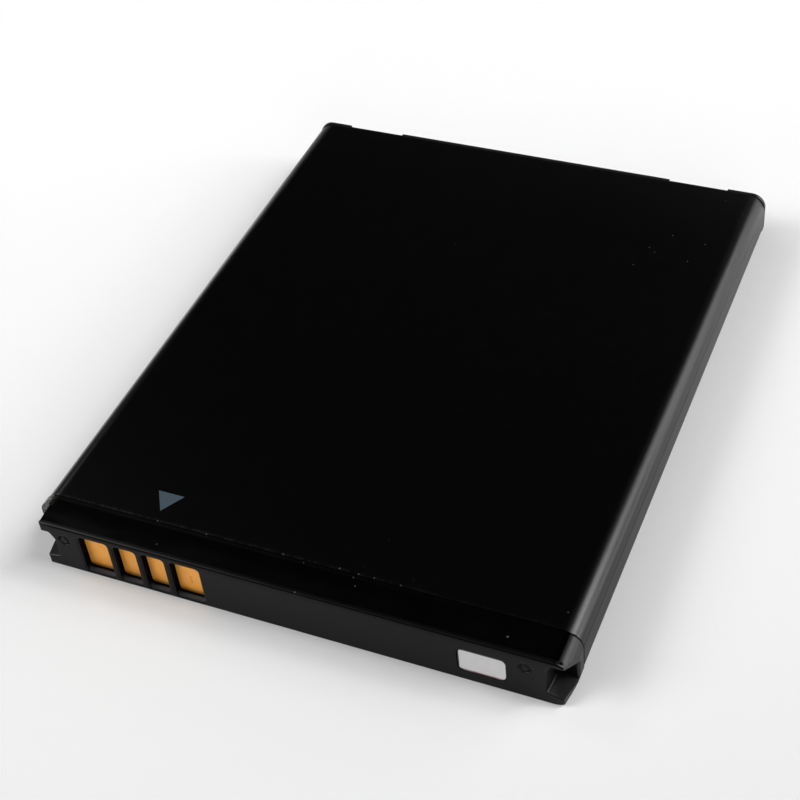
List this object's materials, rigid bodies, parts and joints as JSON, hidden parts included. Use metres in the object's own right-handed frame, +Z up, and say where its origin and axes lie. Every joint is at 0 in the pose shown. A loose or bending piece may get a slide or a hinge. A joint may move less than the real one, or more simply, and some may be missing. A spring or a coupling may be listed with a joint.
{
  "type": "mobile phone battery",
  "caption": "Flat removable battery pack for a mobile phone, with a wrapped sealed cell and recessed end contacts.",
  "frame": {"origin": "middle of the pack's underside", "axes": "+X across the width, +Y along the length away from the contacts, +Z up through the thickness"},
  "size_m": [0.05, 0.0628, 0.0053],
  "materials": {
    "label_film": "black printed film, matt on top and satin where it wraps round the side",
    "cap_plastic": "black moulded plastic, satin",
    "contact_gold": "gold flash over nickel, smooth",
    "indicator_paper": "white moisture indicator, matt",
    "board_laminate": "green solder mask over glass-fibre laminate",
    "chip_moulding": "black epoxy moulding",
    "tinned_chip": "fired ceramic with tinned ends",
    "can_aluminium": "drawn aluminium, satin",
    "gasket_plastic": "natural plastic",
    "nickel": "nickel strip, rolled",
    "insulating_sheet": "thin insulating sheet, matt",
    "fuse_moulding": "moulded fuse body",
    "adhesive_tape": "double-sided adhesive tape"
  },
  "bodies": {
    "root": {"label_wrap": "label_film", "front_cap": "cap_plastic", "rear_cap": "cap_plastic", "moisture_sticker": "indicator_paper", "contact_pad_1": "contact_gold", "contact_pad_2": "contact_gold", "contact_pad_3": "contact_gold", "contact_pad_4": "contact_gold", "pcm_board": "board_laminate", "protection_ic": "chip_moulding", "mosfet": "chip_moulding", "board_resistors": "tinned_chip", "board_capacitors": "tinned_chip", "cell_can": "can_aluminium", "terminal_gasket": "gasket_plastic", "terminal_rivet": "nickel", "filling_plug": "can_aluminium", "positive_pad": "nickel", "lid_insulator": "insulating_sheet", "thermal_fuse": "fuse_moulding", "negative_tab": "nickel", "fuse_tab": "nickel", "positive_tab": "nickel", "front_tape": "adhesive_tape", "rear_tape": "adhesive_tape"}
  },
  "joints": []
}
